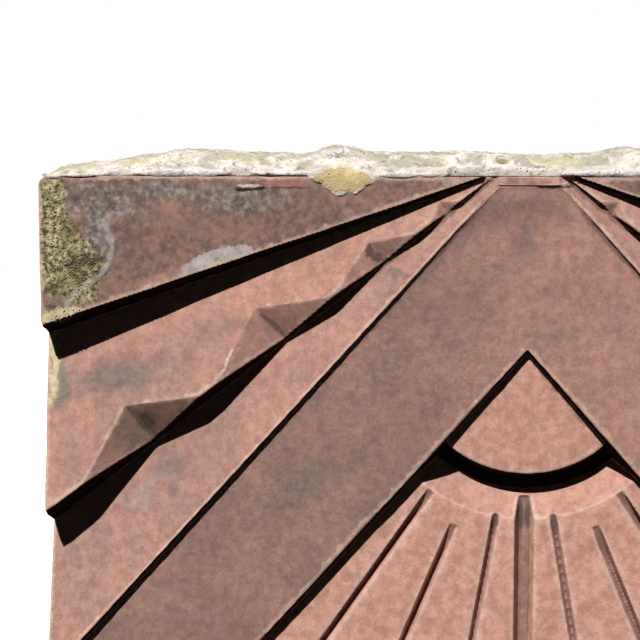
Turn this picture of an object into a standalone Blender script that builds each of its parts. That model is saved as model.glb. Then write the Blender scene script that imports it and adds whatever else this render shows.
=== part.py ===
# Terracotta facade block with a carved sunburst relief, seen from the street at -Y.
# Metres, +Z up. The origin is under the middle of the block, on its lower bed.
# "Drop" is a distance down from the upper bed, "depth" a distance in from the front face.

import math

import bmesh
import bpy
from mathutils import Vector

# Overall sizes of the fired block
BLOCK_WIDTH = 0.610
BLOCK_HEIGHT = 0.324
BLOCK_DEPTH = 0.102

# Every step of the relief leans by this angle, so that the clay leaves its mould
DRAFT_ANGLE = math.radians(17)

# The two rays on each side: where each upper edge starts beside the centre line,
# its drop there and at the block's end, the depth at the foot of its step, and how
# far from the centre line the ray stops
UPPER_RAY_OFFSET = 0.0273
UPPER_RAY_START_DROP = -0.0005
UPPER_RAY_END_DROP = 0.0938
UPPER_RAY_START_DEPTH = 0.0034
UPPER_RAY_END_DEPTH = 0.0237
LOWER_RAY_OFFSET = 0.0251
LOWER_RAY_START_DROP = 0.001
LOWER_RAY_END_DROP = 0.214
LOWER_RAY_START_DEPTH = 0.0056
LOWER_RAY_END_DEPTH = 0.0330
UPPER_RAY_STOP = 0.0205
LOWER_RAY_STOP = 0.0185
RIDGE_DEPTH = 0.0004

# The plain band: an inverted V between the rays and the fan
TOP_BORDER = 0.005
BAND_OFFSET = 0.0195
BAND_FOOT = 0.003
BAND_TOP_DEPTH = 0.0024
BAND_BOTTOM_DEPTH = 0.0064

# The recess inside the band, with its smooth sector, trough, sloping rim and flutes
RECESS_DROP = 0.107
RECESS_HALF_ANGLE = math.radians(41.5)
FAN_CENTRE_DROP = 0.113
SECTOR_RADIUS = 0.074
SECTOR_TIP_DEPTH = 0.0088
SECTOR_DEPTH = 0.0115
TROUGH_WIDTH = 0.012
TROUGH_DEPTH = 0.0245
RIM_WIDTH = 0.0176
FAN_DEPTH = 0.0128
TURNING_STEPS = 144

# Flutes of the fan: angle from the centre line, start beyond the rim and width of each
CENTRE_FLUTE = (0.0, -0.0136, 0.0125)
SIDE_FLUTES = (
    (math.radians(10.0), -0.0016, 0.0050),
    (math.radians(22.5), 0.0129, 0.0055),
    (math.radians(34.5), 0.0009, 0.0055),
)
FLUTE_DEPTH = 0.010
FLUTE_FALL = 0.25
FLUTE_LIP = 0.0008

# Chip-cut notches in the edge over each lower ray: distance of the valley from
# the edge's upper end, the notch's reach up and down the edge from there, the
# height of its peak above the edge and how far the peak leans down along it
NOTCHES = (
    (0.0325, 0.0090, 0.0131, 0.0067, 0.0000),
    (0.0815, 0.0265, 0.0395, 0.0130, 0.0020),
    (0.1620, 0.0408, 0.0530, 0.0232, 0.0035),
    (0.2700, 0.0445, 0.0500, 0.0235, -0.0008),
)
NOTCH_FOOT_SHARE = 0.64

# Open cells in the back, between the end walls, the beds and two webs
CELL_COUNT = 3
END_WALL = 0.030
BED_WALL = 0.030
WEB_THICKNESS = 0.026
FACE_SHELL = 0.024
CELL_TAPER = 0.006
CELL_CORNER = 0.012
CELL_CORNER_STEPS = 4

# Old bed mortar left on top of the block
JOINT_GAP = 0.0003
MORTAR_THICKNESS = 0.011
MORTAR_EDGE_SHARE = 0.45
MORTAR_INSET = 0.002
MORTAR_CHAMFER = 0.004
MORTAR_COLUMNS = 60
MORTAR_ROWS = 10

# Crossing waves of the mortar's top: height, turn per metre along X and Y, and phase
MORTAR_WAVES = (
    (0.00088, 31.0, 0.0, 0.7),
    (0.00053, 83.0, 40.0, 0.0),
    (0.00044, 150.0, -95.0, 1.9),
    (0.00035, 0.0, 61.0, 1.6),
)

# How far the cutters reach past the block, and how far a notch stays off the ray below
REACH = 0.02
NOTCH_CLEARANCE = 0.0002

# Points closer than this are one, and faces flatter than this against each other too
MERGE_DISTANCE = 0.00001
FLAT_ANGLE = math.radians(0.1)

CLAY_COLOR = (0.40, 0.22, 0.17, 1.0)
MORTAR_COLOR = (0.66, 0.60, 0.50, 1.0)


def clear_scene():
    for old in list(bpy.data.objects):
        bpy.data.objects.remove(old, do_unlink=True)


def make_material(name, color, roughness):
    material = bpy.data.materials.new(name)
    material.use_nodes = True
    shader = material.node_tree.nodes["Principled BSDF"]
    shader.inputs["Base Color"].default_value = color
    shader.inputs["Roughness"].default_value = roughness
    shader.inputs["Metallic"].default_value = 0.0
    return material


def make_object(name, bm, material=None):
    bm.normal_update()
    bmesh.ops.recalc_face_normals(bm, faces=bm.faces[:])
    mesh = bpy.data.meshes.new(name)
    bm.to_mesh(mesh)
    bm.free()
    made = bpy.data.objects.new(name, mesh)
    bpy.context.collection.objects.link(made)
    if material:
        mesh.materials.append(material)
    else:
        made.hide_render = True
        made.display_type = "WIRE"
    return made


def combine(target, tool, operation):
    step = target.modifiers.new(tool.name, "BOOLEAN")
    step.operation = operation
    step.solver = "EXACT"
    step.object = tool


def make_box(low, high):
    bm = bmesh.new()
    bmesh.ops.create_cube(bm, size=1.0)
    for vert in bm.verts:
        for axis in range(3):
            vert.co[axis] = high[axis] if vert.co[axis] > 0 else low[axis]
    return bm


def merge_flat_faces(bm):
    bmesh.ops.dissolve_limit(
        bm, angle_limit=FLAT_ANGLE, verts=bm.verts[:], edges=bm.edges[:]
    )


def face_point(x, drop, depth):
    return Vector((x, depth - BLOCK_DEPTH / 2, BLOCK_HEIGHT - drop))


def floor_plane(a, b, c):
    # The plane through three points, with its normal turned into the block
    normal = (b - a).cross(c - a).normalized()
    return a, normal if normal.y > 0 else -normal


def wall_plane(start, end, inside):
    # A leaning step along an edge, with its normal turned away from the hollow
    along = (end - start).normalized()
    inward = along.cross(Vector((0, 1, 0))).normalized()
    if inward.dot(inside - start) < 0:
        inward.negate()
    down = Vector((0, 1, 0)) + inward * math.tan(DRAFT_ANGLE)
    normal = along.cross(down).normalized()
    return start, normal if normal.dot(inward) < 0 else -normal


def make_wedge(name, planes, mirrored=False):
    # A cutter: a slab over the whole face, trimmed to one side of every plane
    low = (-BLOCK_WIDTH / 2 - REACH, -BLOCK_DEPTH / 2 - REACH, -REACH)
    high = (BLOCK_WIDTH / 2 + REACH, 0.0, BLOCK_HEIGHT + REACH)
    bm = make_box(low, high)
    for point, normal in planes:
        geometry = [*bm.verts, *bm.edges, *bm.faces]
        cut = bmesh.ops.bisect_plane(
            bm, geom=geometry, plane_co=point, plane_no=normal, clear_outer=True
        )
        rim = [item for item in cut["geom_cut"] if isinstance(item, bmesh.types.BMEdge)]
        bmesh.ops.edgeloop_fill(bm, edges=rim)
    if mirrored:
        for vert in bm.verts:
            vert.co.x = -vert.co.x
    return make_object(name, bm)


def band_depth(drop):
    share = (drop - TOP_BORDER) / (BLOCK_HEIGHT - TOP_BORDER)
    return BAND_TOP_DEPTH + (BAND_BOTTOM_DEPTH - BAND_TOP_DEPTH) * share


def rim_radius():
    return SECTOR_RADIUS + TROUGH_WIDTH + RIM_WIDTH


def rim_depth(radius):
    share = 1.0 - (rim_radius() - radius) / RIM_WIDTH
    share = min(max(share, 0.0), 1.0)
    return TROUGH_DEPTH + (FAN_DEPTH - TROUGH_DEPTH) * share


def upper_edge(depth_at_start, depth_at_end):
    start = face_point(-UPPER_RAY_OFFSET, UPPER_RAY_START_DROP, depth_at_start)
    return start, face_point(-BLOCK_WIDTH / 2, UPPER_RAY_END_DROP, depth_at_end)


def lower_edge(depth_at_start, depth_at_end):
    start = face_point(-LOWER_RAY_OFFSET, LOWER_RAY_START_DROP, depth_at_start)
    return start, face_point(-BLOCK_WIDTH / 2, LOWER_RAY_END_DROP, depth_at_end)


def band_edge(depth):
    start = face_point(-BAND_OFFSET, TOP_BORDER, depth)
    return start, face_point(-BLOCK_WIDTH / 2, BLOCK_HEIGHT - BAND_FOOT, depth)


def upper_ray_floor():
    start, end = upper_edge(UPPER_RAY_START_DEPTH, UPPER_RAY_END_DEPTH)
    return floor_plane(start, end, lower_edge(RIDGE_DEPTH, RIDGE_DEPTH)[1])


def lower_ray_floor():
    start, end = lower_edge(LOWER_RAY_START_DEPTH, LOWER_RAY_END_DEPTH)
    return floor_plane(start, end, band_edge(RIDGE_DEPTH)[1])


def lower_ray_fold():
    # The lower ray steepens towards its point, and so ends on the band's edge
    point = lower_edge(LOWER_RAY_START_DEPTH, LOWER_RAY_END_DEPTH)[0]
    return floor_plane(point, *band_edge(RIDGE_DEPTH))


def upper_ray_wall():
    below = face_point(-BLOCK_WIDTH / 2, BLOCK_HEIGHT, 0.0)
    return wall_plane(*upper_edge(0.0, 0.0), below)


def ray_stop(offset):
    return face_point(-offset, 0.0, 0.0), Vector((1.0, 0.0, 0.0))


def stand_off(plane):
    # The same plane a little inside the hollow, so that a notch leaves that face whole
    point, normal = plane
    return point - normal * NOTCH_CLEARANCE, normal


def depth_on(plane, x, drop):
    point, normal = plane
    at_face = face_point(x, drop, 0.0)
    return normal.dot(point - at_face) / normal.y


def ray_cutters(side, mirrored):
    below = face_point(-BLOCK_WIDTH / 2, BLOCK_HEIGHT, 0.0)
    lower_wall = wall_plane(*lower_edge(RIDGE_DEPTH, RIDGE_DEPTH), below)
    upper_stop, lower_stop = ray_stop(UPPER_RAY_STOP), ray_stop(LOWER_RAY_STOP)
    upper = [upper_stop, upper_ray_wall(), upper_ray_floor()]
    lower = [lower_stop, lower_wall, lower_ray_floor(), lower_ray_fold()]
    return [
        make_wedge("upper_ray_cut_" + side, upper, mirrored),
        make_wedge("lower_ray_cut_" + side, lower, mirrored),
    ]


def on_plane(plane, point):
    # The point straight in front of or behind this one that lies on the plane
    drop = BLOCK_HEIGHT - point.z
    return face_point(point.x, drop, depth_on(plane, point.x, drop))


def notch_cutter(name, distance, reach_up, reach_down, height, lean, mirrored):
    # Two facets fall from a peak on the upper ray to a valley on the step's face
    start, end = lower_edge(RIDGE_DEPTH, RIDGE_DEPTH)
    along = (end - start).normalized()
    across = Vector((along.z, 0.0, -along.x))
    if across.z < 0:
        across.negate()
    ray, floor = upper_ray_floor(), lower_ray_floor()
    middle = start + along * distance
    near = on_plane(ray, middle - along * reach_up)
    far = on_plane(ray, middle + along * reach_down)
    peak = on_plane(ray, middle + across * height + along * lean)
    lip = on_plane(ray, middle)
    fall = (on_plane(floor, middle).y - lip.y) * NOTCH_FOOT_SHARE
    foot = lip + Vector((0.0, fall, 0.0)) - across * fall * math.tan(DRAFT_ANGLE)
    facets = [floor_plane(peak, near, foot), floor_plane(peak, foot, far)]
    stop = ray_stop(UPPER_RAY_STOP)
    faces = (floor, lower_ray_fold(), upper_ray_wall(), stop)
    return make_wedge(name, facets + [stand_off(face) for face in faces], mirrored)


def band_cutter():
    centre = face_point(0.0, BLOCK_HEIGHT, 0.0)
    start, end = band_edge(0.0)
    other_start = Vector((-start.x, start.y, start.z))
    other_end = Vector((-end.x, end.y, end.z))
    top = face_point(0.0, TOP_BORDER, band_depth(TOP_BORDER))
    foot = face_point(0.0, BLOCK_HEIGHT, band_depth(BLOCK_HEIGHT))
    planes = [
        wall_plane(start, end, centre),
        wall_plane(other_start, other_end, centre),
        wall_plane(start, other_start, centre),
        floor_plane(top, foot, foot + Vector((1.0, 0.0, 0.0))),
    ]
    return make_wedge("band_cut", planes)


def recess_walls():
    tip = face_point(0.0, RECESS_DROP, band_depth(RECESS_DROP))
    centre = face_point(0.0, BLOCK_HEIGHT, band_depth(BLOCK_HEIGHT))
    half_width = (BLOCK_HEIGHT - RECESS_DROP) * math.tan(RECESS_HALF_ANGLE)
    left = centre - Vector((half_width, 0.0, 0.0))
    right = centre + Vector((half_width, 0.0, 0.0))
    return [wall_plane(tip, left, centre), wall_plane(tip, right, centre)]


def fan_turning():
    # The hollow of the sector, trough, rim and fan, turned about the fan's centre
    far = BLOCK_WIDTH
    wall_foot = SECTOR_RADIUS + (TROUGH_DEPTH - SECTOR_DEPTH) * math.tan(DRAFT_ANGLE)
    profile = [
        (0.0, SECTOR_TIP_DEPTH),
        (SECTOR_RADIUS, SECTOR_DEPTH),
        (wall_foot, TROUGH_DEPTH),
        (SECTOR_RADIUS + TROUGH_WIDTH, TROUGH_DEPTH),
        (rim_radius(), FAN_DEPTH),
        (far, FAN_DEPTH),
        (far, -REACH / 2),
        (0.0, -REACH / 2),
    ]
    centre = face_point(0.0, FAN_CENTRE_DROP, 0.0)
    bm = bmesh.new()
    verts = [bm.verts.new(centre + Vector((r, d, 0.0))) for r, d in profile]
    edges = [bm.edges.new(pair) for pair in zip(verts, verts[1:])]
    bmesh.ops.spin(
        bm, geom=verts + edges, cent=centre, axis=(0, 1, 0),
        angle=math.tau, steps=TURNING_STEPS, use_merge=True,
    )
    bmesh.ops.remove_doubles(bm, verts=bm.verts[:], dist=MERGE_DISTANCE)
    merge_flat_faces(bm)
    return make_object("fan_turning", bm)


def flute_cutter(name, angle, start_beyond_rim, width, mirrored=False):
    centre = face_point(0.0, FAN_CENTRE_DROP, FAN_DEPTH)
    along = Vector((-math.sin(angle), 0.0, -math.cos(angle)))
    across = Vector((math.cos(angle), 0.0, -math.sin(angle)))
    start_radius = rim_radius() + start_beyond_rim
    first = centre + along * start_radius
    first.y += rim_depth(start_radius) + FLUTE_LIP - FAN_DEPTH
    slope = along + Vector((0.0, FLUTE_FALL, 0.0))
    deepest = centre + Vector((0.0, FLUTE_DEPTH, 0.0))
    left = centre - across * width / 2
    right = centre + across * width / 2
    planes = [
        wall_plane(left, left + along, centre),
        wall_plane(right, right + along, centre),
        floor_plane(first, first + slope, first + across),
        floor_plane(deepest, deepest + along, deepest + across),
        (first, -along),
    ]
    return make_wedge(name, planes, mirrored)


def cell_cutter(index):
    width = BLOCK_WIDTH - 2 * END_WALL - (CELL_COUNT - 1) * WEB_THICKNESS
    width /= CELL_COUNT
    left = -BLOCK_WIDTH / 2 + END_WALL + index * (width + WEB_THICKNESS)
    deepest_relief = max(LOWER_RAY_END_DEPTH, UPPER_RAY_END_DEPTH, TROUGH_DEPTH)
    inner_y = face_point(0.0, 0.0, deepest_relief + FACE_SHELL).y
    low = (left, inner_y, BED_WALL)
    high = (left + width, BLOCK_DEPTH / 2, BLOCK_HEIGHT - BED_WALL)
    bm = make_box(low, high)
    middle = Vector((left + width / 2, 0.0, BLOCK_HEIGHT / 2))
    for vert in bm.verts:
        if vert.co.y < BLOCK_DEPTH / 4 + inner_y / 2:
            vert.co.x += math.copysign(CELL_TAPER, middle.x - vert.co.x)
            vert.co.z += math.copysign(CELL_TAPER, middle.z - vert.co.z)
        else:
            share = REACH / (BLOCK_DEPTH / 2 - inner_y)
            vert.co.x -= math.copysign(CELL_TAPER * share, middle.x - vert.co.x)
            vert.co.z -= math.copysign(CELL_TAPER * share, middle.z - vert.co.z)
            vert.co.y += REACH
    corners = [edge for edge in bm.edges if is_deep_edge(edge)]
    bmesh.ops.bevel(
        bm, geom=corners, offset=CELL_CORNER, segments=CELL_CORNER_STEPS,
        profile=0.5, affect="EDGES",
    )
    return make_object("cell_cut_%d" % (index + 1), bm)


def is_deep_edge(edge):
    first, second = edge.verts
    return abs(first.co.y - second.co.y) > REACH


def make_block(material):
    low = (-BLOCK_WIDTH / 2, -BLOCK_DEPTH / 2, 0.0)
    high = (BLOCK_WIDTH / 2, BLOCK_DEPTH / 2, BLOCK_HEIGHT)
    block = make_object("terracotta_block", make_box(low, high), material)
    cutters = []
    for side, mirrored in (("left", False), ("right", True)):
        cutters += ray_cutters(side, mirrored)
        for number, notch in enumerate(NOTCHES, start=1):
            name = "notch_cut_%s_%d" % (side, number)
            cutters.append(notch_cutter(name, *notch, mirrored))
    cutters.append(band_cutter())
    recess = make_wedge("recess_cut", recess_walls())
    combine(recess, fan_turning(), "INTERSECT")
    cutters.append(recess)
    cutters.append(flute_cutter("flute_cut_centre", *CENTRE_FLUTE))
    for side, mirrored in (("left", False), ("right", True)):
        for number, flute in enumerate(SIDE_FLUTES, start=1):
            name = "flute_cut_%s_%d" % (side, number)
            cutters.append(flute_cutter(name, *flute, mirrored))
    for index in range(CELL_COUNT):
        cutters.append(cell_cutter(index))
    for cutter in cutters:
        combine(block, cutter, "DIFFERENCE")
    return block


def mortar_top(x, y, share_x, share_y):
    # Trowel marks and torn lumps, thinner along the margins
    thickness = MORTAR_THICKNESS
    for height, turn_x, turn_y, phase in MORTAR_WAVES:
        thickness += height * math.sin(turn_x * x + turn_y * y + phase)
    margin = min(share_x, share_y, 1.0)
    share = MORTAR_EDGE_SHARE + (1 - MORTAR_EDGE_SHARE) * margin
    return BLOCK_HEIGHT + JOINT_GAP + thickness * share


def make_mortar(material):
    half_width = BLOCK_WIDTH / 2 - MORTAR_INSET
    half_depth = BLOCK_DEPTH / 2 - MORTAR_INSET
    bm = bmesh.new()
    top = []
    bottom = []
    for column in range(MORTAR_COLUMNS + 1):
        x = -half_width + 2 * half_width * column / MORTAR_COLUMNS
        for row in range(MORTAR_ROWS + 1):
            y = -half_depth + 2 * half_depth * row / MORTAR_ROWS
            share_x = (half_width - abs(x)) / MORTAR_CHAMFER
            share_y = (half_depth - abs(y)) / MORTAR_CHAMFER
            top.append(bm.verts.new((x, y, mortar_top(x, y, share_x, share_y))))
            bottom.append(bm.verts.new((x, y, BLOCK_HEIGHT + JOINT_GAP)))
    stride = MORTAR_ROWS + 1
    for column in range(MORTAR_COLUMNS):
        for row in range(MORTAR_ROWS):
            corner = column * stride + row
            ring = (corner, corner + 1, corner + stride + 1, corner + stride)
            bm.faces.new([top[i] for i in ring])
            bm.faces.new([bottom[i] for i in reversed(ring)])
    open_edges = [edge for edge in bm.edges if edge.is_boundary]
    bmesh.ops.bridge_loops(bm, edges=open_edges)
    merge_flat_faces(bm)
    bmesh.ops.triangulate(bm, faces=bm.faces[:])
    return make_object("mortar_bed", bm, material)


def main():
    clear_scene()
    make_block(make_material("fired_clay", CLAY_COLOR, 0.85))
    make_mortar(make_material("lime_mortar", MORTAR_COLOR, 0.95))


main()
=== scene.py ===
import math

import bmesh
import bpy
import numpy as np
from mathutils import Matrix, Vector, noise


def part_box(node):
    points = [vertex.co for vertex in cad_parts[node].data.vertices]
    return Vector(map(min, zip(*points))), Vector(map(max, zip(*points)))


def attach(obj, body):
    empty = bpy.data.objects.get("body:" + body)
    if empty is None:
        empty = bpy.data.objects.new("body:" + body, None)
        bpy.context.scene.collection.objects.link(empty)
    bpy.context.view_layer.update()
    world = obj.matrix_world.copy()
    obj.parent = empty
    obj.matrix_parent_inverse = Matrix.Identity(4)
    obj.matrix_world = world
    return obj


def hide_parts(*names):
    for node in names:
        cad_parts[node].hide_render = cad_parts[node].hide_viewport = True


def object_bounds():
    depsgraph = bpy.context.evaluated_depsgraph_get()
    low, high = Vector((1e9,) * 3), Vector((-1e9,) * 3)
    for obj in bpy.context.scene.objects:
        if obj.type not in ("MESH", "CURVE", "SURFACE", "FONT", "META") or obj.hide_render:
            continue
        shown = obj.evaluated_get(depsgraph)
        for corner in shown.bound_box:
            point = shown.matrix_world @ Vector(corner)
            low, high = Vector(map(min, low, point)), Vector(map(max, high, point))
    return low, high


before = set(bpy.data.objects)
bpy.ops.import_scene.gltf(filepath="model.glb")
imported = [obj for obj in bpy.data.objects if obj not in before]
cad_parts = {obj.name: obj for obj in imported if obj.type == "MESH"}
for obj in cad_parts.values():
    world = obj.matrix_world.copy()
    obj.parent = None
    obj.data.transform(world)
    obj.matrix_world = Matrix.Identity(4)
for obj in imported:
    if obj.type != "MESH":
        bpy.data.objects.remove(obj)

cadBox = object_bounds()
blockLow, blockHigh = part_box("terracotta_block")
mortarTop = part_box("mortar_bed")[1].z

reliefDepth = 0.034  # how far in from the face the relief goes
fanDrop = 0.113  # the fan's centre, below the block's top
trough = (0.074, 0.086)  # inner and outer radius round that centre
rim = (0.086, 0.1036)

# Lines of the relief on one side, as (distance from the middle, drop from the top)
relief = {
    "upperRay": ((0.0273, -0.0005), (0.305, 0.0938)),
    "lowerRay": ((0.0251, 0.0010), (0.305, 0.214)),
    "band": ((0.0195, 0.0050), (0.305, 0.321)),
    "recess": ((0.0, 0.107), (0.192, 0.324)),
}


def onFace(x, drop, depth=0.0):
    return Vector((x, blockLow.y + depth, blockHigh.z - drop))


def addObject(name, data):
    made = bpy.data.objects.new(name, data)
    bpy.context.scene.collection.objects.link(made)
    return made


def cleanCopy(name, node):
    # The CAD node's loose triangles, merged into one skin
    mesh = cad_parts[node].data.copy()
    bm = bmesh.new()
    bm.from_mesh(mesh)
    bmesh.ops.remove_doubles(bm, verts=bm.verts[:], dist=0.00001)
    bm.to_mesh(mesh)
    bm.free()
    mesh.materials.clear()
    return addObject(name, mesh)


def settle(piece):
    # Takes the modifiers into the mesh
    depsgraph = bpy.context.evaluated_depsgraph_get()
    finished = bpy.data.meshes.new_from_object(piece.evaluated_get(depsgraph))
    piece.modifiers.clear()
    piece.vertex_groups.clear()
    piece.data = finished


def vertexArray(mesh):
    points = np.empty(len(mesh.vertices) * 3, np.float32)
    mesh.vertices.foreach_get("co", points)
    return points.reshape(-1, 3)


seedStep = (3.7, 1.3, 7.1)  # each seed looks this much further along the noise


def noiseAt(points, size, seed):
    shift = Vector([seed * step for step in seedStep])
    values = [noise.noise(Vector(point) / size + shift) for point in points]
    return np.array(values, np.float32)


def storeShare(mesh, name, values):
    layer = mesh.attributes.new(name, "FLOAT", "POINT")
    layer.data.foreach_set("value", values.astype(np.float32))


def evenShading(piece, crease):
    piece.data.shade_smooth()
    piece.data.set_sharp_from_angle(angle=math.radians(crease))
    even = piece.modifiers.new("even", "WEIGHTED_NORMAL")
    even.mode = "FACE_AREA"
    even.keep_sharp = True
    settle(piece)


weightSteps = 16  # weights are rounded to these steps, so that whole sets are added at once


def setGroup(piece, name, weights):
    group = piece.vertex_groups.new(name=name)
    steps = np.clip(np.round(weights * weightSteps), 0, weightSteps).astype(int)
    for step in range(1, weightSteps + 1):
        chosen = np.nonzero(steps == step)[0]
        if len(chosen):
            group.add(chosen.tolist(), step / weightSteps, "REPLACE")


def addCloud(piece, name, size, strength, group=""):
    cloud = bpy.data.textures.new(name, "CLOUDS")
    cloud.noise_scale = size
    cloud.noise_depth = 2
    push = piece.modifiers.new(name, "DISPLACE")
    push.texture = cloud
    push.texture_coords = "LOCAL"
    push.strength = strength
    push.mid_level = 0.5
    push.vertex_group = group


def thinOut(piece, triangles, group="", groupShare=1.0):
    # Brings a skin of quads down to about this many triangles
    thin = piece.modifiers.new("thin", "DECIMATE")
    thin.ratio = min(1.0, triangles / (2.0 * len(piece.data.polygons)))
    thin.vertex_group = group
    thin.vertex_group_factor = groupShare
    thin.use_collapse_triangulate = True
    settle(piece)


def remeshSkin(piece, voxel):
    remesh = piece.modifiers.new("skin", "REMESH")
    remesh.mode = "VOXEL"
    remesh.voxel_size = voxel
    settle(piece)


print("Shaping the fired block")

# Sizes in metres; turns are passes of smoothing
block = {
    "voxel": 0.0010,
    "triangles": 165000,
    "wearSize": 0.022,
    "wearSeed": 3,
    "wearGain": 2.2,
    "wearLoss": 0.35,
    "softening": 0.5,
    "firstTurns": 2,
    "wearTurns": 8,
    "knockTurns": 36,
    "knockGain": 1.6,
    "cornerReach": 1.2,
    "crease": 13.0,
    "warp": (0.060, 0.0007),  # size and strength
    "ripple": (0.011, 0.00025),
    "reliefShare": 0.40,  # share of the depth that keeps its fine triangles
    "reliefWeight": 1 / weightSteps,  # the higher the weight, the sooner it is thinned
    "evenness": 0.000001,  # keeps the triangles of the relief alike in size
    "arrisTurns": 18,
    "arrisReach": 0.0004,  # an arris that stands out this far is paled most, as wear and painted highlight
}

# Knocks in the arrises: x, drop, depth and reach of each
knocks = (
    (-0.303, 0.174, 0.008, 0.010),
    (-0.305, 0.214, 0.002, 0.008),
    (-0.190, 0.119, 0.002, 0.005),
    (-0.160, 0.005, 0.000, 0.008),
    (0.305, 0.006, 0.000, 0.011),
    (0.305, 0.300, 0.000, 0.016),
    (-0.305, 0.318, 0.000, 0.010),
    (0.120, 0.324, 0.010, 0.012),
)

# Rounded corners of the outline: x, drop, the way they point, radius
corners = (
    (-0.305, 0.000, -1, 1, 0.0060),
    (-0.305, 0.0938, -1, -1, 0.0030),
    (0.305, 0.000, 1, 1, 0.0040),
    (-0.305, 0.324, -1, -1, 0.0035),
    (0.305, 0.324, 1, -1, 0.0050),
)


def roundCorners(points):
    # Draws the outline's square corners in to a quarter circle, as deep as the relief
    for x, drop, outX, outZ, radius in corners:
        centreX = x - outX * radius
        centreZ = blockHigh.z - drop - outZ * radius
        side = (points[:, 0] - centreX) * outX
        rise = (points[:, 2] - centreZ) * outZ
        inside = (side > 0) & (rise > 0) & (rise < block["cornerReach"] * radius)
        inside &= points[:, 1] < blockLow.y + reliefDepth
        away = np.hypot(side, rise) + 0.000001
        share = np.where(inside, np.maximum(side, rise) / away, 1.0)
        points[:, 0] = centreX + outX * side * share
        points[:, 2] = centreZ + outZ * rise * share
    return points


# The plain band's head, which comes up towards the face, more at the left
bandHead = {
    "halfWidth": 0.0195,
    "widening": 0.90,
    "top": 0.0055,
    "bottom": 0.030,
    "depths": (0.0014, 0.0060),
    "liftAt": (-0.016, 0.020),
    "lift": (0.0019, 0.0011),
    "fade": 0.016,
}


def easeBandHead(points):
    side = np.abs(points[:, 0])
    drop = blockHigh.z - points[:, 2]
    depth = points[:, 1] - blockLow.y
    least, most = bandHead["depths"]
    halfWidth = bandHead["halfWidth"] + bandHead["widening"] * (drop - bandHead["top"])
    head = (side < halfWidth) & (drop < bandHead["bottom"])
    head &= (depth > least) & (depth < most)
    lift = np.interp(points[:, 0], bandHead["liftAt"], bandHead["lift"])
    fade = np.clip((bandHead["bottom"] - drop) / bandHead["fade"], 0.0, 1.0)
    points[:, 1] -= np.where(head, lift * fade, 0.0)
    return points


def shapeBlock():
    piece = cleanCopy("firedBlock", "terracotta_block")
    remeshSkin(piece, block["voxel"])
    points = easeBandHead(roundCorners(vertexArray(piece.data)))
    piece.data.vertices.foreach_set("co", points.ravel())
    wear = noiseAt(points, block["wearSize"], block["wearSeed"])
    wear = np.clip(wear * block["wearGain"] - block["wearLoss"], 0.0, 1.0)
    knocked = np.zeros_like(wear)
    gain = block["knockGain"]
    for x, drop, depth, reach in knocks:
        away = np.linalg.norm(points - np.array(onFace(x, drop, depth)), axis=1)
        knocked = np.maximum(knocked, np.clip(gain - gain * away / reach, 0.0, 1.0))
    setGroup(piece, "worn", wear)
    setGroup(piece, "knocked", knocked)
    depthShare = (points[:, 1] - blockLow.y) / (blockHigh.y - blockLow.y)
    rounding = {
        "": block["firstTurns"], "worn": block["wearTurns"], "knocked": block["knockTurns"],
    }
    for group, turns in rounding.items():
        soften = piece.modifiers.new("soften", "SMOOTH")
        soften.factor = block["softening"]
        soften.iterations = turns
        soften.vertex_group = group
    addCloud(piece, "warp", *block["warp"])
    addCloud(piece, "ripple", *block["ripple"])
    settle(piece)
    markArrises(piece.data)
    inRelief = depthShare < block["reliefShare"]
    setGroup(piece, "plain", np.where(inRelief, block["reliefWeight"], 1.0))
    thinOut(piece, block["triangles"], "plain", block["evenness"])
    storeShare(piece.data, "crusted", coverShare(vertexArray(piece.data)))
    return piece


def markArrises(mesh):
    # Stores how far each point stands out of its surroundings, for wear with painted
    # highlight on the arrises and for darker inner corners
    points = vertexArray(mesh)
    edges = np.empty(len(mesh.edges) * 2, np.int32)
    mesh.edges.foreach_get("vertices", edges)
    near, far = edges.reshape(-1, 2).T
    total = len(points)
    count = np.bincount(near, minlength=total) + np.bincount(far, minlength=total)
    relaxed = points.astype(np.float64)
    for turn in range(block["arrisTurns"]):
        for axis in range(3):
            line = relaxed[:, axis]
            around = np.bincount(near, line[far], total) + np.bincount(far, line[near], total)
            relaxed[:, axis] = 0.5 * line + 0.5 * around / count
    normals = np.empty(total * 3, np.float32)
    mesh.vertices.foreach_get("normal", normals)
    standing = np.einsum("ij,ij->i", points - relaxed, normals.reshape(-1, 3))
    values = np.clip(standing / block["arrisReach"], -1.0, 1.0)
    storeShare(mesh, "arris", values)


print("Mixing the finishes")


def addNode(tree, kind, inputs=None, **settings):
    node = tree.nodes.new(kind)
    for name, value in settings.items():
        setattr(node, name, value)
    for key, value in (inputs or {}).items():
        socket = node.inputs[key]
        if isinstance(value, bpy.types.NodeSocket):
            tree.links.new(value, socket)
        else:
            socket.default_value = value
    return node


def calc(tree, operation, first, second=0.0):
    inputs = {0: first, 1: second}
    return addNode(tree, "ShaderNodeMath", inputs, operation=operation).outputs[0]


def speckle(tree, coords, perMetre, detail=3.0, roughness=0.55, distortion=0.0):
    inputs = {
        "Vector": coords, "Scale": perMetre, "Detail": detail,
        "Roughness": roughness, "Distortion": distortion,
    }
    return addNode(tree, "ShaderNodeTexNoise", inputs).outputs["Fac"]


def ease(tree, value, low, high, least=0.0, most=1.0):
    inputs = {
        "Value": value, "From Min": low, "From Max": high, "To Min": least, "To Max": most,
    }
    node = addNode(tree, "ShaderNodeMapRange", inputs, interpolation_type="SMOOTHSTEP")
    return node.outputs["Result"]


def blendColor(tree, amount, under, over):
    inputs = {0: amount, 6: under, 7: over}
    return addNode(tree, "ShaderNodeMix", inputs, data_type="RGBA").outputs[2]


def blendValue(tree, amount, under, over):
    inputs = {0: amount, 2: under, 3: over}
    return addNode(tree, "ShaderNodeMix", inputs, data_type="FLOAT").outputs[0]


def dim(tree, color, share):
    node = addNode(tree, "ShaderNodeVectorMath", {0: color, 3: share}, operation="SCALE")
    return node.outputs[0]


def shade(red, green, blue):
    return (red, green, blue, 1.0)


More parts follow.
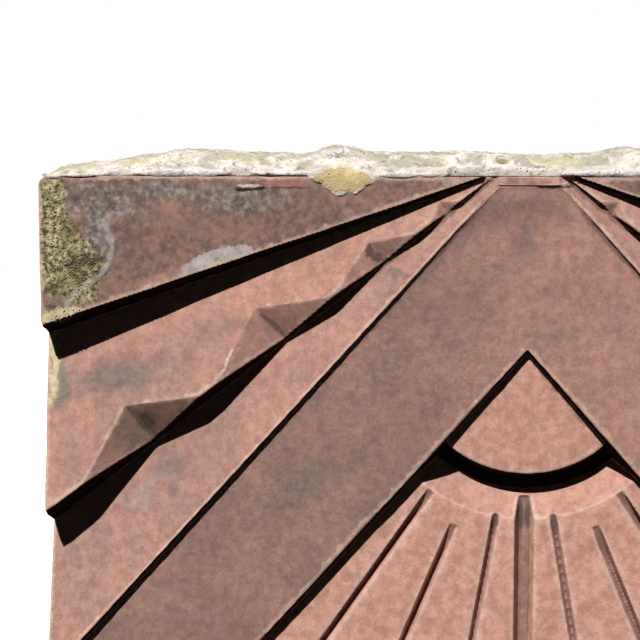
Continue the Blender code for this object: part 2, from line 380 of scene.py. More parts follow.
def newFinish(name, roughness):
    material = bpy.data.materials.new(name)
    material.use_nodes = True
    shader = material.node_tree.nodes["Principled BSDF"]
    shader.inputs["Roughness"].default_value = roughness
    return material, material.node_tree, shader


def roughen(tree, shader, height, strength, distance):
    inputs = {"Height": height, "Strength": strength, "Distance": distance}
    bump = addNode(tree, "ShaderNodeBump", inputs)
    tree.links.new(bump.outputs["Normal"], shader.inputs["Normal"])


def attributeValue(tree, name):
    return addNode(tree, "ShaderNodeAttribute", attribute_name=name).outputs["Fac"]


def upwardFacing(tree):
    # How far the surface faces up, from -1 to 1
    facing = addNode(tree, "ShaderNodeNewGeometry").outputs["Normal"]
    return addNode(tree, "ShaderNodeSeparateXYZ", {0: facing}).outputs["Z"]


clay = {
    "clean": shade(0.490, 0.250, 0.186),
    "pale": shade(0.530, 0.288, 0.220),
    "brown": shade(0.292, 0.168, 0.128),
    "soot": shade(0.262, 0.156, 0.130),
    "grey": shade(0.205, 0.165, 0.145),
    # Pale arrises: worn clay and painted highlight
    "arris": shade(0.640, 0.430, 0.340),
    # Dark in inner corners, notch valleys and small spots, and painted shadow in the flutes
    "hollow": shade(0.110, 0.075, 0.060),
    "umber": shade(0.210, 0.125, 0.085),
    "lichen": shade(0.295, 0.245, 0.118),
    "olive": shade(0.125, 0.105, 0.045),
    "cream": shade(0.570, 0.490, 0.280),
    "smoke": shade(0.185, 0.140, 0.122),
    # Pale lines of painted highlight along lit edges
    "edge": shade(0.680, 0.560, 0.440),
    "bloom": shade(0.430, 0.360, 0.330),
    # Pale bloom, and a painted highlight along the band's head
    "frost": shade(0.520, 0.470, 0.460),
    "rust": shade(0.400, 0.205, 0.130),
    "red": shade(0.360, 0.165, 0.120),
    "moss": shade(0.170, 0.165, 0.125),
    "dark": shade(0.060, 0.050, 0.028),
    # Dark grey crumbs, and painted shade on a flute's right wall
    "slate": shade(0.120, 0.100, 0.092),
    "ash": shade(0.330, 0.290, 0.255),
    # Near-black painted shade: undersides of steps, the trough, and lines of painted shadow
    "crust": shade(0.012, 0.010, 0.009),
    "roughness": 0.86,
    "bump": (0.22, 0.0006),  # strength and distance
    # the painted shade's share at most
    "coverShare": 0.95,
    "crumbShare": 0.3,
}

# Noise in the clay: waves for each metre, detail, roughness, distortion
claySpecks = {
    "broad": (22.0, 3.0),
    "dirt": (48.0, 4.0),
    "patch": (75.0, 4.0, 0.6, 0.4),
    "mottle": (150.0, 4.0, 0.7),
    "blotch": (210.0, 3.0, 0.6),
    "coarse": (240.0, 4.0, 0.7),
    "pits": (420.0, 4.0, 0.7),
    "grain": (900.0, 2.0),
}

# Limits of the wear, dirt, painted highlight and painted shade: from, to, and mostly least
# and most
clayWearAndShade = {
    # pale arrises, as wear and as painted highlight
    "rubbedAndLit": (0.78, 1.25, 0.0, 0.60),
    "hollow": (0.15, -0.25, 0.0, 0.60),
    "pale": (0.35, 0.65),
    "dirt": (0.40, 0.62),
    "top": (0.15, 0.50, 1.0, 0.86),
    # painted shade on the undersides of the steps, and the specular it takes away
    "soffit": (-0.42, -0.62),
    "gloss": (0.0, 0.9, 0.25, 0.0),
}

# Soot on each field of the relief, as one share or as from x, to x, share, share
fieldSoot = {
    "corner": 0.84,
    "upperRay": (-0.20, -0.10, 0.42, 0.26),
    "lowerRay": (-0.26, -0.06, 0.66, 0.42),
    "band": (-0.08, 0.045, 0.92, 0.42),
    "recess": -0.18,
    "rim": 0.20,
    "back": 0.30,
}
frontFade = 0.006  # the front's dirt fades out in this depth behind the relief
footFade = (0.001, 0.004)  # the painted shade fades in between these heights above the foot
fieldShade = {"corner": 0.77, "recess": 1.10}  # lightness of two fields beside the rest

stainDepth = 0.040  # how far into the block a stain reaches
crustDrop = 0.10  # crumbs of lichen stand no lower than this
thinStain = 0.0025  # stains under this half width keep a finer outline


def strokes(name, line, halfWidth, share):
    # A thin line through points given as (x, drop), as stains laid end to end
    made = []
    for (startX, startDrop), (endX, endDrop) in zip(line, line[1:]):
        along = endX - startX
        down = endDrop - startDrop
        middle = (startX + along / 2, startDrop + down / 2)
        turn = math.degrees(math.atan2(down, along))
        half = 0.55 * math.hypot(along, down)
        made.append((name, *middle, half, halfWidth, turn, share, 0.5))
    return made


filmRim = (
    (-0.2650, 0.0270), (-0.2612, 0.0344), (-0.2588, 0.0441), (-0.2612, 0.0538),
    (-0.2673, 0.0620), (-0.2790, 0.0707), (-0.2862, 0.0767), (-0.2900, 0.0830),
)
notchValleys = (
    ((-0.2468, 0.1478), (-0.2363, 0.1635)),
    ((-0.1660, 0.0867), (-0.1516, 0.1008)),
    ((-0.0998, 0.0419), (-0.0876, 0.0552)),
)
# Lines as (x, drop): painted shadow under the band's head and a painted highlight along its
# edge
headShadow = ((0.0040, 0.0058), (0.0184, 0.0066), (0.0251, 0.0052), (0.0300, 0.0040))
headEdge = ((0.0060, 0.0048), (0.0184, 0.0042), (0.0251, 0.0024), (0.0285, 0.0008))
# A painted highlight along the upper edge of a notch
notchEdge = ((-0.1840, 0.1080), (-0.1868, 0.1130), (-0.1895, 0.1195), (-0.1930, 0.1260))

# Stains and growths on the face, and some lines of painted shadow, shade and highlight:
# colour, x, drop, half width, half height, turn in degrees, share of the colour at the
# middle, and how hard the edge is
stains = (
    ("grey", -0.272, 0.016, 0.040, 0.012, 6, 0.70, 0.5),
    ("grey", -0.266, 0.038, 0.009, 0.022, -8, 0.85, 0.6),
    ("grey", -0.276, 0.066, 0.020, 0.005, -41, 0.80, 0.6),
    ("grey", -0.270, 0.046, 0.010, 0.014, -10, 0.70, 0.5),
    ("grey", -0.180, 0.013, 0.034, 0.010, 0, 0.75, 0.4),
    ("grey", -0.225, 0.008, 0.026, 0.007, 0, 0.65, 0.4),
    ("brown", -0.205, 0.030, 0.045, 0.010, 8, 0.45, 0.3),
    ("hollow", -0.280, 0.012, 0.022, 0.006, 0, 0.45, 0.3),
    ("lichen", -0.296, 0.032, 0.010, 0.034, 0, 0.95, 0.7),
    ("lichen", -0.284, 0.058, 0.019, 0.020, -10, 0.95, 0.7),
    ("olive", -0.277, 0.056, 0.016, 0.010, 4, 0.97, 0.6),
    ("olive", -0.288, 0.034, 0.007, 0.010, 10, 0.60, 0.3),
    ("olive", -0.294, 0.070, 0.008, 0.006, 0, 0.70, 0.4),
    ("hollow", -0.298, 0.082, 0.010, 0.0012, 4, 0.85, 0.5),
    ("cream", -0.293, 0.088, 0.014, 0.0046, -14, 0.95, 0.7),
    ("rust", -0.222, 0.018, 0.006, 0.006, 0, 0.55, 0.3),
    ("rust", -0.257, 0.029, 0.003, 0.003, 0, 0.60, 0.4),
    ("red", -0.1500, 0.0036, 0.0160, 0.0024, 0, 0.75, 0.6),
    # Painted shadow under the lip at the top edge, and a painted highlight on the lip
    ("crust", -0.1760, 0.0078, 0.0055, 0.0012, 0, 0.97, 0.6),
    ("crust", -0.1670, 0.0074, 0.0045, 0.0010, -4, 0.97, 0.6),
    ("crust", -0.1490, 0.0068, 0.0150, 0.0006, 0, 0.70, 0.4),
    ("edge", -0.1725, 0.0056, 0.0075, 0.0008, 0, 0.80, 0.5),
    ("pale", -0.2300, 0.0690, 0.0440, 0.0085, -19, 0.45, 0.2),
    ("bloom", -0.2000, 0.0560, 0.0185, 0.0072, -32, 0.95, 0.8),
    ("bloom", -0.1850, 0.0500, 0.0150, 0.0060, -10, 0.95, 0.8),
    ("frost", -0.1960, 0.0520, 0.0150, 0.0030, -28, 0.60, 0.4),
    ("moss", -0.1930, 0.0520, 0.0030, 0.0022, 0, 0.60, 0.4),
    ("cream", -0.190, 0.052, 0.008, 0.0015, -28, 0.45, 0.5),
    ("smoke", -0.258, 0.127, 0.044, 0.016, -12, 0.86, 0.2),
    ("smoke", -0.205, 0.100, 0.030, 0.010, -20, 0.30, 0.2),
    ("cream", -0.3015, 0.118, 0.0035, 0.034, 0, 0.95, 0.6),
    ("moss", -0.2945, 0.133, 0.006, 0.021, 0, 0.80, 0.3),
    ("smoke", -0.0800, 0.0610, 0.0075, 0.0040, 30, 0.80, 0.4),
    ("smoke", -0.229, 0.186, 0.010, 0.018, 35, 0.75, 0.2),
    ("smoke", -0.222, 0.200, 0.005, 0.008, 0, 0.60, 0.3),
    ("smoke", -0.250, 0.208, 0.018, 0.009, -40, 0.42, 0.2),
    ("bloom", -0.246, 0.206, 0.014, 0.007, -40, 0.35, 0.2),
    ("smoke", -0.245, 0.160, 0.020, 0.017, -30, 0.55, 0.3),
    ("umber", -0.1580, 0.0930, 0.0220, 0.0150, 0, 0.45, 0.2),
    ("umber", -0.0900, 0.0470, 0.0150, 0.0090, -10, 0.45, 0.2),
    ("umber", -0.2480, 0.1600, 0.0180, 0.0160, -40, 0.40, 0.2),
    *strokes("hollow", notchValleys[0], 0.0036, 0.80),
    *strokes("hollow", notchValleys[1], 0.0024, 0.70),
    *strokes("hollow", notchValleys[2], 0.0032, 0.90),
    ("moss", -0.2385, 0.160, 0.006, 0.0012, 62, 0.60, 0.3),
    # Painted highlight along the notch's upper edge
    *strokes("edge", notchEdge, 0.0010, 0.85),
    *strokes("bloom", filmRim, 0.0021, 0.58),
    ("red", 0.0017, 0.0019, 0.0290, 0.0026, 0, 0.60, 0.4),
    # Painted shadow under the band's head and a painted highlight along its edge
    *strokes("crust", headShadow, 0.0010, 0.92),
    *strokes("frost", headEdge, 0.0006, 0.70),
    ("smoke", -0.0013, 0.0385, 0.007, 0.014, 5, 0.50, 0.2),
    ("smoke", 0.000, 0.016, 0.022, 0.010, 0, 0.40, 0.2),
    ("smoke", 0.008, 0.0995, 0.016, 0.005, 0, 0.40, 0.2),
    ("smoke", -0.136, 0.193, 0.026, 0.013, -32, 0.62, 0.2),
    ("smoke", -0.110, 0.181, 0.016, 0.007, -40, 0.50, 0.2),
    ("smoke", -0.165, 0.208, 0.012, 0.006, -30, 0.45, 0.3),
    ("smoke", -0.090, 0.116, 0.022, 0.012, -42, 0.32, 0.2),
    ("smoke", -0.105, 0.150, 0.012, 0.006, -45, 0.25, 0.2),
    # Painted shadow down the left of the middle flute and in the two flutes beside it, with
    # painted shade on the middle flute's right wall
    ("hollow", -0.0022, 0.2160, 0.0022, 0.0120, 0, 0.92, 0.6),
    ("slate", 0.0022, 0.2160, 0.0024, 0.0120, 0, 0.85, 0.5),
    ("hollow", -0.0190, 0.2200, 0.0024, 0.0080, 12, 0.80, 0.4),
    ("hollow", 0.0190, 0.2200, 0.0024, 0.0080, -12, 0.60, 0.4),
    ("grey", 0.215, 0.020, 0.060, 0.014, 0, 0.60, 0.4),
    ("lichen", 0.290, 0.060, 0.014, 0.030, 0, 0.75, 0.5),
    ("moss", 0.240, 0.190, 0.030, 0.012, 40, 0.40, 0.3),
    ("soot", 0.120, 0.210, 0.050, 0.030, -40, 0.35, 0.2),
)


def coverShare(points):
    # How thickly lichen crumbs stand on each point of the block
    share = np.zeros(len(points))
    for name, x, drop, halfWidth, halfHeight, turn, most, hardness in stains:
        if name not in ("lichen", "cream") or drop > crustDrop:
            continue
        off = points - np.array(onFace(x, drop))
        slope = math.radians(turn)
        along = off[:, 0] * math.cos(slope) - off[:, 2] * math.sin(slope)
        up = off[:, 0] * math.sin(slope) + off[:, 2] * math.cos(slope)
        away = np.hypot(along / halfWidth, up / halfHeight)
        away = np.hypot(away, off[:, 1] / stainDepth)
        share = np.maximum(share, np.clip(2.0 - 2.0 * away, 0.0, 1.0) * most)
    return share


grainStretch = (0.7, 1.4)  # each grain is drawn out by this much, each way


def randomVector(tree, least, most, seed):
    inputs = {0: (least,) * 3, 1: (most,) * 3, 8: seed}
    node = addNode(tree, "FunctionNodeRandomValue", inputs, data_type="FLOAT_VECTOR")
    return node.outputs[0]


def scatterGrains(piece, name, finish, settings):
    # Strews grains over a piece where its "crusted" share allows, and joins them to it
    tree = bpy.data.node_groups.new(name, "GeometryNodeTree")
    sockets = tree.interface
    sockets.new_socket(name="Geometry", in_out="INPUT", socket_type="NodeSocketGeometry")
    for label, value in settings.items():
        kind = "NodeSocketInt" if isinstance(value, int) else "NodeSocketFloat"
        sockets.new_socket(name=label, in_out="INPUT", socket_type=kind)
    sockets.new_socket(name="Geometry", in_out="OUTPUT", socket_type="NodeSocketGeometry")
    given = addNode(tree, "NodeGroupInput").outputs
    where = addNode(
        tree, "GeometryNodeInputNamedAttribute", {"Name": "crusted"}, data_type="FLOAT"
    )
    density = calc(tree, "MULTIPLY", where.outputs["Attribute"], given["Density"])
    spots = addNode(
        tree, "GeometryNodeDistributePointsOnFaces",
        {"Mesh": given["Geometry"], "Density": density, "Seed": given["Seed"]},
    )
    ball = addNode(tree, "GeometryNodeMeshIcoSphere", {"Radius": 1.0, "Subdivisions": 1})
    marked = addNode(
        tree, "GeometryNodeStoreNamedAttribute",
        {"Geometry": ball.outputs["Mesh"], "Name": "crumb", "Value": 1.0},
        data_type="FLOAT", domain="POINT",
    )
    size = addNode(
        tree, "FunctionNodeRandomValue",
        {2: given["Least size"], 3: given["Most size"], 8: given["Seed"]}, data_type="FLOAT",
    ).outputs[1]
    stretch = randomVector(tree, *grainStretch, seed=5)
    turn = randomVector(tree, 0.0, math.pi, seed=6)
    placed = addNode(
        tree, "GeometryNodeInstanceOnPoints",
        {
            "Points": spots.outputs["Points"], "Instance": marked.outputs["Geometry"],
            "Rotation": turn, "Scale": dim(tree, stretch, size),
        },
    )
    joined = addNode(tree, "GeometryNodeJoinGeometry")
    tree.links.new(given["Geometry"], joined.inputs["Geometry"])
    tree.links.new(placed.outputs["Instances"], joined.inputs["Geometry"])
    solid = addNode(
        tree, "GeometryNodeRealizeInstances", {"Geometry": joined.outputs["Geometry"]}
    )
    painted = addNode(
        tree, "GeometryNodeSetMaterial",
        {"Geometry": solid.outputs["Geometry"], "Material": finish},
    )
    addNode(tree, "NodeGroupOutput", {"Geometry": painted.outputs["Geometry"]})
    strew = piece.modifiers.new(name, "NODES")
    strew.node_group = tree
    for item in sockets.items_tree:
        if item.in_out == "INPUT" and item.name in settings:
            strew[item.identifier] = settings[item.name]
    settle(piece)


def foldedPlace(tree, place):
    # Distance from the middle and drop from the top, in one vector
    parts = addNode(tree, "ShaderNodeSeparateXYZ", {0: place})
    side = calc(tree, "ABSOLUTE", parts.outputs["X"])
    drop = calc(tree, "SUBTRACT", blockHigh.z, parts.outputs["Z"])
    joined = addNode(tree, "ShaderNodeCombineXYZ", {"X": side, "Z": drop})
    return joined.outputs[0]


lineBlur = 0.0008  # half of the soft edge along a line of the relief
ringBlur = 0.0010


def below(tree, folded, line):
    # One under a line of the relief, nought over it
    (startSide, startDrop), (endSide, endDrop) = relief[line]
    length = math.hypot(endSide - startSide, endDrop - startDrop)
    across = (-(endDrop - startDrop) / length, 0.0, (endSide - startSide) / length)
    offset = across[0] * startSide + across[2] * startDrop
    inputs = {0: folded, 1: across}
    reach = addNode(tree, "ShaderNodeVectorMath", inputs, operation="DOT_PRODUCT")
    return ease(tree, reach.outputs["Value"], offset - lineBlur, offset + lineBlur)


def ringMask(tree, folded, ring):
    # One in a ring of the recess, given by its inner and outer radius
    middle = (0.0, 0.0, fanDrop)
    away = addNode(
        tree, "ShaderNodeVectorMath", {0: folded, 1: middle}, operation="DISTANCE"
    ).outputs["Value"]
    inner, outer = ring
    near = ease(tree, away, inner, inner + ringBlur)
    far = ease(tree, away, outer, outer - ringBlur)
    inside = calc(tree, "MULTIPLY", near, far)
    return calc(tree, "MULTIPLY", inside, below(tree, folded, "recess"))


def raggedPlace(tree, place, perMetre, amount):
    # The place, pushed about by noise, so that stains get uneven outlines
    field = addNode(
        tree, "ShaderNodeTexNoise", {"Vector": place, "Scale": perMetre, "Detail": 4.0}
    )
    centred = addNode(
        tree, "ShaderNodeVectorMath",
        {0: field.outputs["Color"], 1: (0.5, 0.5, 0.5)}, operation="SUBTRACT",
    )
    pushed = addNode(
        tree, "ShaderNodeVectorMath",
        {0: centred.outputs[0], 1: (amount,) * 3, 2: place}, operation="MULTIPLY_ADD",
    )
    return pushed.outputs[0]


stainEdge = 1.25  # a stain ends at this many times its half width


def stainMask(tree, ragged, x, drop, halfWidth, halfHeight, turn, share, hardness):
    inputs = {
        "Vector": ragged,
        "Location": onFace(x, drop),
        "Rotation": (0.0, math.radians(turn), 0.0),
        "Scale": (halfWidth, stainDepth, halfHeight),
    }
    local = addNode(tree, "ShaderNodeMapping", inputs, vector_type="TEXTURE")
    away = addNode(
        tree, "ShaderNodeVectorMath", {0: local.outputs[0]}, operation="LENGTH"
    ).outputs["Value"]
    return ease(tree, away, stainEdge, stainEdge * hardness, 0.0, share)


# Crumbly paints: waves for each metre, then their colours from dark to light
crumbly = {
    "lichen": (330.0, "dark", "lichen", "cream"),
    "grey": (240.0, "slate", "grey", "ash"),
    "olive": (300.0, "dark", "olive", "lichen"),
}
crumbLimits = ((0.40, 0.47), (0.54, 0.62))

# How noise pushes the outlines of stains about: waves for each metre, and how far
wander = {"broad": (55.0, 0.016), "rough": (260.0, 0.007), "fine": (160.0, 0.0030)}


def crumbled(tree, place, perMetre, low, middle, high):
    # A crisp mix of three colours, as of dry crumbs
    field = speckle(tree, place, perMetre, 2.0, 0.6)
    first, second = crumbLimits
    color = blendColor(tree, ease(tree, field, *first), clay[low], clay[middle])
    return blendColor(tree, ease(tree, field, *second), color, clay[high])


def swingNoise(tree, field, spread, middle, swing):
    # Noise turned into a middle value with a swing to either side
    return ease(tree, field, 0.5 - spread, 0.5 + spread, middle - swing, middle + swing)


def sootShare(tree, x, under, inRim, onFront, specks):
    # How much soot the clay carries: by field of the relief, then by patches
    soot = fieldSoot["corner"]
    for field in ("upperRay", "lowerRay", "band"):
        soot = blendValue(tree, under[field], soot, ease(tree, x, *fieldSoot[field]))
    soot = blendValue(tree, under["recess"], soot, fieldSoot["recess"])
    soot = blendValue(tree, inRim, soot, fieldSoot["rim"])
    soot = blendValue(tree, onFront, fieldSoot["back"], soot)
    soot = calc(tree, "ADD", soot, swingNoise(tree, specks["broad"], 0.18, 0.0, 0.16))
    soot = calc(tree, "ADD", soot, swingNoise(tree, specks["patch"], 0.18, 0.0, 0.16))
    inputs = {0: soot, 1: swingNoise(tree, specks["blotch"], 0.20, 0.0, 0.05)}
    node = addNode(tree, "ShaderNodeMath", inputs, operation="ADD", use_clamp=True)
    return node.outputs[0]


def layStains(tree, place, color):
    rough = raggedPlace(tree, raggedPlace(tree, place, *wander["broad"]), *wander["rough"])
    fine = raggedPlace(tree, place, *wander["fine"])
    paints = dict(clay)
    for name, numbers in crumbly.items():
        paints[name] = crumbled(tree, place, *numbers)
    for name, *numbers in stains:
        where = fine if min(numbers[2:4]) < thinStain else rough
        color = blendColor(tree, stainMask(tree, where, *numbers), color, paints[name])
    return color


def paleArrisesDarkCorners(tree, blotch, color):
    # Pales the arrises, as wear and as a painted highlight, and darkens the inner corners
    edge = calc(tree, "ADD", attributeValue(tree, "arris"), blotch)
    rubbedAndLit = ease(tree, edge, *clayWearAndShade["rubbedAndLit"])
    color = blendColor(tree, rubbedAndLit, color, clay["arris"])
    hollow = ease(tree, edge, *clayWearAndShade["hollow"])
    return blendColor(tree, hollow, color, clay["hollow"])


def makeClay():
    material, tree, shader = newFinish("weatheredClay", clay["roughness"])
    place = addNode(tree, "ShaderNodeTexCoord").outputs["Object"]
    axes = addNode(tree, "ShaderNodeSeparateXYZ", {0: place}).outputs
    folded = foldedPlace(tree, place)
    specks = {name: speckle(tree, place, *numbers) for name, numbers in claySpecks.items()}
    under = {line: below(tree, folded, line) for line in relief}
    inRim = ringMask(tree, folded, rim)
    frontEnd = blockLow.y + reliefDepth
    onFront = ease(tree, axes["Y"], frontEnd + frontFade, frontEnd)

    pale = ease(tree, specks["patch"], *clayWearAndShade["pale"])
    body = blendColor(tree, pale, clay["clean"], clay["pale"])
    brown = ease(tree, specks["dirt"], *clayWearAndShade["dirt"])
    dirt = blendColor(tree, brown, clay["soot"], clay["brown"])
    soot = sootShare(tree, axes["X"], under, inRim, onFront, specks)
    color = blendColor(tree, soot, body, dirt)
    cornerShade = ease(tree, under["upperRay"], 0.0, 1.0, fieldShade["corner"], 1.0)
    recessShade = ease(tree, under["recess"], 0.0, 1.0, 1.0, fieldShade["recess"])
    fieldShare = calc(tree, "MULTIPLY", cornerShade, recessShade)
    color = dim(tree, color, blendValue(tree, onFront, 1.0, fieldShare))
    coarse = swingNoise(tree, specks["coarse"], 0.18, 1.0, 0.26)
    color = dim(tree, color, blendValue(tree, under["upperRay"], coarse, 1.0))

    color = layStains(tree, place, color)
    crumb = calc(tree, "MULTIPLY", attributeValue(tree, "crumb"), clay["crumbShare"])
    color = blendColor(tree, crumb, color, clay["cream"])
    color = paleArrisesDarkCorners(tree, specks["blotch"], color)
    color = dim(tree, color, swingNoise(tree, specks["mottle"], 0.20, 1.0, 0.20))
    color = dim(tree, color, swingNoise(tree, specks["grain"], 0.20, 1.0, 0.09))

    # Darker on what faces up, and painted shade: near-black in the trough round the fan's
    # centre and on the undersides of the steps, where shadow falls
    upward = upwardFacing(tree)
    color = dim(tree, color, ease(tree, upward, *clayWearAndShade["top"]))
    aboveFoot = ease(tree, axes["Z"], *[blockLow.z + height for height in footFade])
    soffit = calc(tree, "MULTIPLY", ease(tree, upward, *clayWearAndShade["soffit"]), aboveFoot)
    crust = calc(tree, "MAXIMUM", soffit, ringMask(tree, folded, trough))
    paintedShadeLimit = calc(tree, "MULTIPLY", onFront, clay["coverShare"])
    crust = calc(tree, "MULTIPLY", crust, paintedShadeLimit)
    color = blendColor(tree, crust, color, clay["crust"])
    tree.links.new(color, shader.inputs["Base Color"])
    # The painted shade also loses its specular, so that it stays black
    gloss = ease(tree, crust, *clayWearAndShade["gloss"])
    tree.links.new(gloss, shader.inputs["Specular IOR Level"])

    height = calc(tree, "MULTIPLY", specks["blotch"], 0.5)
    height = calc(tree, "ADD", height, specks["pits"])
    height = calc(tree, "ADD", height, calc(tree, "MULTIPLY", specks["grain"], 0.5))
    roughen(tree, shader, height, *clay["bump"])
    return material


crumbs = {"Density": 420000.0, "Least size": 0.0002, "Most size": 0.0007, "Seed": 11}

clayFinish = makeClay()
firedBlock = shapeBlock()
scatterGrains(firedBlock, "lichenCrumbs", clayFinish, crumbs)
evenShading(firedBlock, block["crease"])
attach(firedBlock, "root")
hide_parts("terracotta_block")
print("  fired block:", len(firedBlock.data.polygons), "triangles")

print("Laying the old mortar")

mortar = {
    "voxel": 0.0011,
    "triangles": 110000,
    "lumps": (0.016, 0.0030),  # size and strength
    "crumbs": (0.0045, 0.0016),
    "loosening": 2.5,  # how soon above the block the lumps come in
    "loosest": 0.12,  # share of the lumps that the foot keeps
    "gritFrom": 0.004,  # grit lies higher above the block than this
    "smearSink": 0.0002,
    "white": shade(0.760, 0.690, 0.640),
    "top": shade(0.345, 0.318, 0.262),
    "sand": shade(0.500, 0.420, 0.270),
    "yellow": shade(0.580, 0.440, 0.215),
    "lichen": shade(0.200, 0.180, 0.060),
    "growth": shade(0.440, 0.410, 0.230),
    "dirt": shade(0.170, 0.140, 0.100),
    "grey": shade(0.400, 0.370, 0.340),
    "dark": shade(0.150, 0.130, 0.100),
    "crease": 40.0,
    "roughness": 0.95,
    "specular": 0.2,
    "bump": (0.8, 0.0012),
    "topFacing": (0.35, 0.85),
    "wander": (160.0, 0.008),
}

# Noise on the bed, given as that in the clay is
limeSpecks = {
    "broad": (30.0, 4.0),
    "bare": (62.0, 4.0, 0.6, 0.6),
    "growth": (85.0, 4.0, 0.6),
    "patch": (110.0, 4.0, 0.65),
    "spots": (150.0, 4.0, 0.7, 0.5),
    "pits": (260.0, 4.0, 0.7),
    "dots": (330.0, 3.0, 0.6),
    "grain": (700.0, 3.0, 0.6),
}

# How that noise lays its colour over the bed: from, to, least, most
limeCover = {
    "bare": (0.44, 0.60, 0.0, 0.80),
    "patch": (0.46, 0.66, 0.0, 0.55),
    "broad": (0.55, 0.72, 0.0, 0.60),
    "dots": (0.62, 0.70, 0.0, 0.70),
    "growth": (0.54, 0.66, 0.0, 0.60),
    "spots": (0.56, 0.65, 0.0, 0.65),
    "pits": (0.38, 0.28, 0.0, 0.80),
}

# How far the bed's top is raised or sunk along the block: x, lift
lifts = (
    (-0.305, -0.0098), (-0.300, -0.0092), (-0.2927, -0.0064), (-0.2728, -0.0039),
    (-0.2604, -0.0018), (-0.248, 0.0010), (-0.2356, 0.0019), (-0.2232, 0.0040),
    (-0.2108, 0.0031), (-0.1984, 0.0031), (-0.186, 0.0025), (-0.1736, 0.0019),
    (-0.1612, 0.0006), (-0.1488, -0.0006), (-0.1364, 0.0016), (-0.124, 0.0071),
    (-0.1116, 0.0072), (-0.0992, 0.0043), (-0.0868, 0.0034), (-0.0248, 0.0031),
    (-0.0124, 0.0013), (0.0, 0.0), (0.0124, -0.0013), (0.0248, 0.0),
    (0.0372, 0.0006), (0.0496, 0.0031), (0.062, 0.0056), (0.090, 0.0040),
    (0.120, 0.0010), (0.200, 0.0020), (0.280, -0.0030), (0.305, -0.0060),
)

# Stains on the bed, given as those of the face are
limeStains = (
    ("yellow", -0.1150, 0.0020, 0.0165, 0.0068, 0, 0.95, 0.8),
    ("growth", -0.1130, 0.0025, 0.0050, 0.0030, 0, 0.50, 0.2),
    ("lichen", -0.0168, -0.0100, 0.0050, 0.0022, 0, 0.85, 0.4),
    ("growth", 0.0185, -0.0095, 0.0180, 0.0030, 0, 0.80, 0.4),
    ("growth", -0.1800, -0.0120, 0.0200, 0.0030, 4, 0.60, 0.3),
    ("growth", -0.2450, -0.0090, 0.0120, 0.0030, -8, 0.70, 0.3),
    ("growth", -0.2750, -0.0060, 0.0100, 0.0030, -10, 0.70, 0.3),
    ("dark", 0.0520, -0.0020, 0.0040, 0.0014, 0, 0.70, 0.4),
    ("grey", -0.0560, -0.0010, 0.0200, 0.0016, 0, 0.60, 0.4),
)

# Lumps stuck to the face below the bed: x, drop, half width, thickness, half height
smears = (
    (-0.127, 0.000, 0.0095, 0.0015, 0.0048),
    (-0.120, 0.003, 0.0090, 0.0015, 0.0072),
    (-0.117, 0.006, 0.0070, 0.0015, 0.0070),
    (-0.108, 0.004, 0.0085, 0.0015, 0.0068),
    (-0.101, 0.001, 0.0075, 0.0015, 0.0052),
    (-0.107, 0.009, 0.0024, 0.0013, 0.0026),
    (-0.080, -0.001, 0.016, 0.0012, 0.0022),
    (-0.062, -0.001, 0.012, 0.0010, 0.0018),
    (-0.150, -0.002, 0.020, 0.0010, 0.0020),
    (-0.215, -0.002, 0.030, 0.0010, 0.0026),
    (-0.280, -0.001, 0.018, 0.0012, 0.0022),
    (-0.295, 0.000, 0.008, 0.0010, 0.0022),
    (0.060, -0.002, 0.040, 0.0010, 0.0022),
    (0.190, -0.001, 0.030, 0.0012, 0.0030),
)


def shapeMortar():
    piece = cleanCopy("oldMortar", "mortar_bed")
    bm = bmesh.new()
    bm.from_mesh(piece.data)
    for x, drop, halfWidth, thickness, halfHeight in smears:
        made = bmesh.ops.create_icosphere(bm, subdivisions=3, radius=1.0)
        for vert in made["verts"]:
            point = vert.co
            vert.co = onFace(x, drop, mortar["smearSink"]) + Vector(
                (point.x * halfWidth, point.y * thickness, point.z * halfHeight)
            )
    bm.to_mesh(piece.data)
    bm.free()
    remeshSkin(piece, mortar["voxel"])
    points = vertexArray(piece.data)
    rise = (points[:, 2] - blockHigh.z) / (mortarTop - blockHigh.z)
    rise = np.clip(rise, 0.0, 1.0)
    points[:, 2] += rise * np.interp(points[:, 0], *zip(*lifts)).astype(np.float32)
    piece.data.vertices.foreach_set("co", points.ravel())
    setGroup(piece, "loose", np.clip(rise * mortar["loosening"], mortar["loosest"], 1.0))
    addCloud(piece, "lumps", *mortar["lumps"], "loose")
    addCloud(piece, "crumbs", *mortar["crumbs"], "loose")
    thinOut(piece, mortar["triangles"])
    gritty = vertexArray(piece.data)[:, 2] > blockHigh.z + mortar["gritFrom"]
    storeShare(piece.data, "crusted", gritty)
    return piece


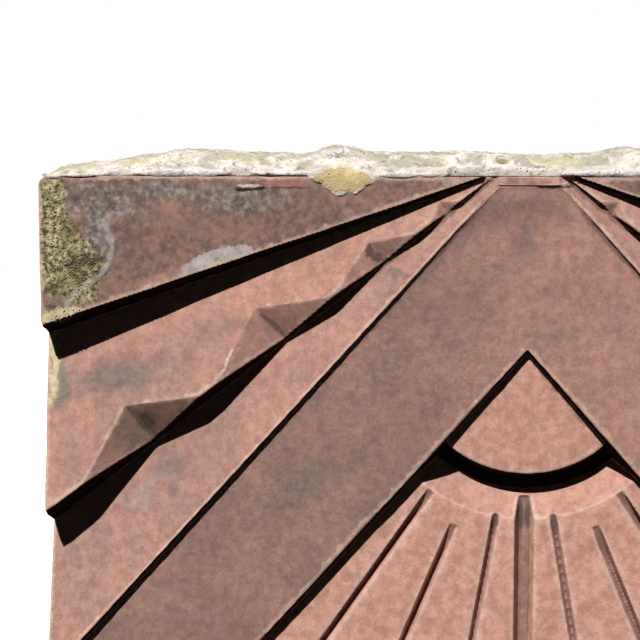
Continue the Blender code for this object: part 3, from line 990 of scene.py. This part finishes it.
def makeLime():
    material, tree, shader = newFinish("oldLime", mortar["roughness"])
    place = addNode(tree, "ShaderNodeTexCoord").outputs["Object"]
    specks = {name: speckle(tree, place, *numbers) for name, numbers in limeSpecks.items()}
    cover = {name: ease(tree, specks[name], *limits) for name, limits in limeCover.items()}
    upward = upwardFacing(tree)
    top = blendColor(tree, cover["bare"], mortar["top"], mortar["white"])
    onTop = ease(tree, upward, *mortar["topFacing"])
    color = blendColor(tree, onTop, mortar["white"], top)
    for field, paint in (("patch", "sand"), ("broad", "grey"), ("dots", "lichen")):
        color = blendColor(tree, cover[field], color, mortar[paint])
    growth = calc(tree, "MULTIPLY", cover["growth"], upward)
    color = blendColor(tree, growth, color, mortar["growth"])
    color = blendColor(tree, cover["spots"], color, mortar["dirt"])
    ragged = raggedPlace(tree, place, *mortar["wander"])
    for name, *numbers in limeStains:
        color = blendColor(tree, stainMask(tree, ragged, *numbers), color, mortar[name])
    color = blendColor(tree, cover["pits"], color, mortar["dark"])
    tree.links.new(color, shader.inputs["Base Color"])
    shader.inputs["Specular IOR Level"].default_value = mortar["specular"]
    height = calc(tree, "MULTIPLY", specks["grain"], 0.6)
    roughen(tree, shader, calc(tree, "ADD", specks["patch"], height), *mortar["bump"])
    return material


grit = {"Density": 48000.0, "Least size": 0.0002, "Most size": 0.0006, "Seed": 23}

limeFinish = makeLime()
oldMortar = shapeMortar()
scatterGrains(oldMortar, "mortarGrit", limeFinish, grit)
evenShading(oldMortar, mortar["crease"])
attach(oldMortar, "root")
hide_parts("mortar_bed")
print("  old mortar:", len(oldMortar.data.polygons), "triangles")

print("Setting the camera and the light")

studio = {
    "aim": onFace(-0.1290, 0.089),
    "standX": -0.0615,
    "distance": 1.10,
    "elevation": 6.5,
    "frameWidth": 0.3985,
    "sunTravel": (2.15, 6.28, -8.8),
    "sunStrength": 5.5,
    "sunAngle": 1.0,
    "rearTravel": (-0.6, -1.0, -0.45),
    "rearStrength": 1.1,
    "rearAngle": 70.0,
    "fill": 0.004,
    "backdrop": 1.0,
    "floorGlow": 0.30,
    "floorShade": 0.78,
    "floorHalf": 3.0,
    "floorGap": 0.0005,
}


def placeCamera():
    lens = bpy.data.cameras.new("photoView")
    camera = addObject("photoView", lens)
    rise = math.radians(studio["elevation"])
    aim = studio["aim"]
    camera.location = (
        studio["standX"],
        aim.y - studio["distance"] * math.cos(rise),
        aim.z + studio["distance"] * math.sin(rise),
    )
    sight = aim - camera.location
    camera.rotation_euler = sight.to_track_quat("-Z", "Y").to_euler()
    lens.lens = lens.sensor_width * sight.length / studio["frameWidth"]
    lens.clip_start = 0.01
    bpy.context.scene.camera = camera


def addSun(name, travel, strength, angle):
    sun = bpy.data.lights.new(name, "SUN")
    sun.energy = strength
    sun.angle = math.radians(angle)
    lamp = addObject(name, sun)
    lamp.rotation_euler = Vector(travel).to_track_quat("-Z", "Y").to_euler()


def placeLights():
    addSun("sun", studio["sunTravel"], studio["sunStrength"], studio["sunAngle"])
    addSun("rearGlow", studio["rearTravel"], studio["rearStrength"], studio["rearAngle"])


def paintWorld():
    # The camera sees a white backdrop, while the block gets a dim fill from it
    world = bpy.data.worlds.new("studioAir")
    bpy.context.scene.world = world
    world.use_nodes = True
    tree = world.node_tree
    sky = tree.nodes["Background"]
    rays = addNode(tree, "ShaderNodeLightPath")
    strength = blendValue(
        tree, rays.outputs["Is Camera Ray"], studio["fill"], studio["backdrop"]
    )
    sky.inputs["Color"].default_value = shade(1.0, 1.0, 1.0)
    tree.links.new(strength, sky.inputs["Strength"])


def layFloor():
    bm = bmesh.new()
    bmesh.ops.create_grid(bm, x_segments=1, y_segments=1, size=studio["floorHalf"])
    for vert in bm.verts:
        vert.co.z = cadBox[0].z - studio["floorGap"]
    mesh = bpy.data.meshes.new("studioFloor")
    bm.to_mesh(mesh)
    bm.free()
    floor = addObject("studioFloor", mesh)
    paint, tree, shader = newFinish("paleFloor", 0.9)
    shader.inputs["Base Color"].default_value = shade(*(studio["floorShade"],) * 3)
    shader.inputs["Emission Color"].default_value = shade(1.0, 1.0, 1.0)
    shader.inputs["Emission Strength"].default_value = studio["floorGlow"]
    mesh.materials.append(paint)
    floor.visible_diffuse = False


placeCamera()
placeLights()
paintWorld()
layFloor()
bpy.context.scene.view_settings.view_transform = "Standard"

print("Done")
